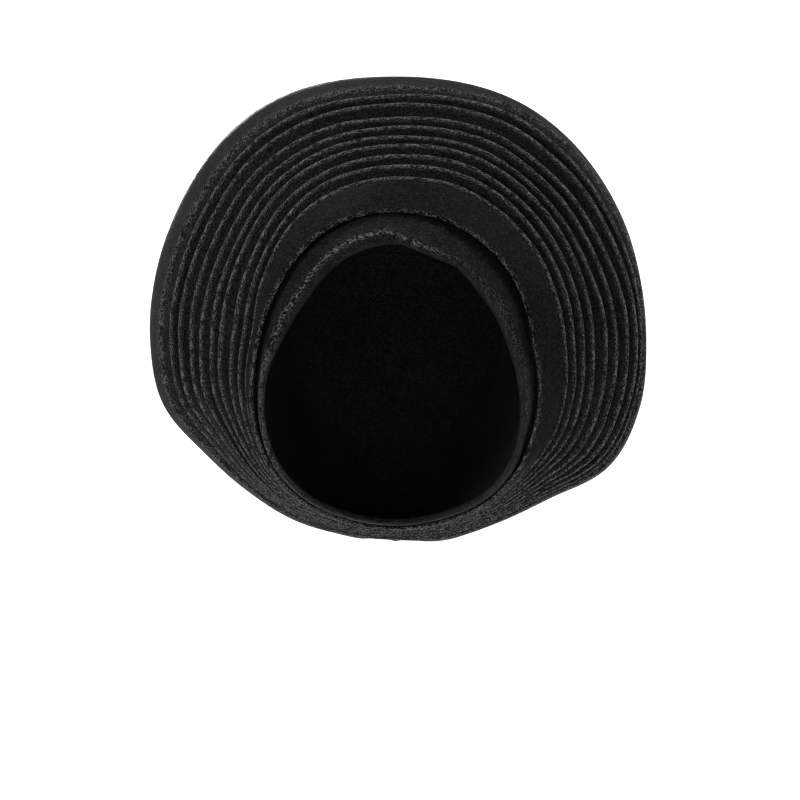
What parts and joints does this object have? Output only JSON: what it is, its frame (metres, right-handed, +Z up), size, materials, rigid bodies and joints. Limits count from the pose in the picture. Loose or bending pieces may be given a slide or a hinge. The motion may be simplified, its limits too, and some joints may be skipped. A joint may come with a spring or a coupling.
{
  "type": "tied gele head wrap",
  "caption": "Stiff black woven head wrap tied as a tall fan of nested pleats round the face, with an outer panel that curls back over the head and closes to the nape.",
  "frame": {"origin": "inside of the cap at the crown, where the wrap rests on the top of the head", "axes": "+Z up, +X to the right as seen from the front, the face opening looks along -Y"},
  "size_m": [0.268, 0.1907, 0.2533],
  "materials": {
    "plain_cloth": "plain woven black cloth, matte",
    "band_cloth": "pebbled woven black cloth with a fine sparkle",
    "pleat_cloth": "stiff ribbed black cloth with a soft sheen and sparkling crests",
    "panel_cloth": "stiff woven black cloth with a soft sheen"
  },
  "bodies": {
    "root": {"head_cap": "plain_cloth", "face_band": "band_cloth", "brow_band": "band_cloth", "pleat_01": "pleat_cloth", "pleat_02": "pleat_cloth", "pleat_03": "pleat_cloth", "pleat_04": "pleat_cloth", "pleat_05": "pleat_cloth", "pleat_06": "pleat_cloth", "pleat_07": "pleat_cloth", "pleat_08": "pleat_cloth", "pleat_09": "pleat_cloth", "back_panel": "panel_cloth"}
  },
  "joints": []
}
